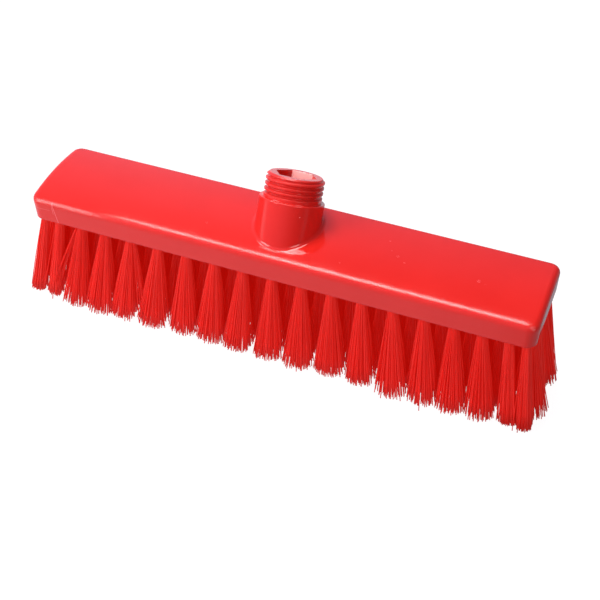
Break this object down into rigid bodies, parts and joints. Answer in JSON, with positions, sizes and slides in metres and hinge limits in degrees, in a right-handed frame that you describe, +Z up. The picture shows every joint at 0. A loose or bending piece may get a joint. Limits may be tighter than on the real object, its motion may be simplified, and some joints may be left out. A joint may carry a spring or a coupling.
{
  "type": "push broom head",
  "caption": "Wide push broom head: an arched moulded block with a backward-leaning threaded handle socket and five staggered rows of flared bristle tufts that flex.",
  "frame": {"origin": "on the floor, in the middle of the bristle tips, straight below the middle of the block", "axes": "+Z up, away from the floor; X along the block; +Y towards the back, the side the handle socket leans to"},
  "size_m": [0.3206, 0.0652, 0.1085],
  "materials": {
    "block_plastic": "gloss",
    "bristle_filament": "satin",
    "anchor_steel": "satin"
  },
  "bodies": {
    "head": {"head_block": "block_plastic", "front_row_roots": "bristle_filament", "front_row_anchors": "anchor_steel", "second_row_roots": "bristle_filament", "second_row_anchors": "anchor_steel", "middle_row_roots": "bristle_filament", "middle_row_anchors": "anchor_steel", "fourth_row_roots": "bristle_filament", "fourth_row_anchors": "anchor_steel", "back_row_roots": "bristle_filament", "back_row_anchors": "anchor_steel"},
    "front_bristles": {"front_row_left_tufts": "bristle_filament", "front_row_centre_tufts": "bristle_filament", "front_row_right_tufts": "bristle_filament"},
    "second_bristles": {"second_row_left_tufts": "bristle_filament", "second_row_centre_tufts": "bristle_filament", "second_row_right_tufts": "bristle_filament"},
    "middle_bristles": {"middle_row_left_tufts": "bristle_filament", "middle_row_centre_tufts": "bristle_filament", "middle_row_right_tufts": "bristle_filament"},
    "fourth_bristles": {"fourth_row_left_tufts": "bristle_filament", "fourth_row_centre_tufts": "bristle_filament", "fourth_row_right_tufts": "bristle_filament"},
    "back_bristles": {"back_row_left_tufts": "bristle_filament", "back_row_centre_tufts": "bristle_filament", "back_row_right_tufts": "bristle_filament"}
  },
  "joints": [
    {"name": "front_row_bend", "type": "hinge", "parent": "head", "child": "front_bristles", "pos_m": [0, -0.0216, 0.06], "axis": [1, 0, 0], "range_deg": [-30, 30], "stiffness_Nm_per_rad": 0.21},
    {"name": "second_row_bend", "type": "hinge", "parent": "head", "child": "second_bristles", "pos_m": [0, -0.0108, 0.06], "axis": [1, 0, 0], "range_deg": [-30, 30], "stiffness_Nm_per_rad": 0.21},
    {"name": "middle_row_bend", "type": "hinge", "parent": "head", "child": "middle_bristles", "pos_m": [0, 0, 0.06], "axis": [1, 0, 0], "range_deg": [-30, 30], "stiffness_Nm_per_rad": 0.21},
    {"name": "fourth_row_bend", "type": "hinge", "parent": "head", "child": "fourth_bristles", "pos_m": [0, 0.0108, 0.06], "axis": [1, 0, 0], "range_deg": [-30, 30], "stiffness_Nm_per_rad": 0.21},
    {"name": "back_row_bend", "type": "hinge", "parent": "head", "child": "back_bristles", "pos_m": [0, 0.0216, 0.06], "axis": [1, 0, 0], "range_deg": [-30, 30], "stiffness_Nm_per_rad": 0.21}
  ],
  "couplings": [
    {"joint": "front_row_bend", "follows": "middle_row_bend", "ratio": 1},
    {"joint": "second_row_bend", "follows": "middle_row_bend", "ratio": 1},
    {"joint": "fourth_row_bend", "follows": "middle_row_bend", "ratio": 1},
    {"joint": "back_row_bend", "follows": "middle_row_bend", "ratio": 1}
  ]
}
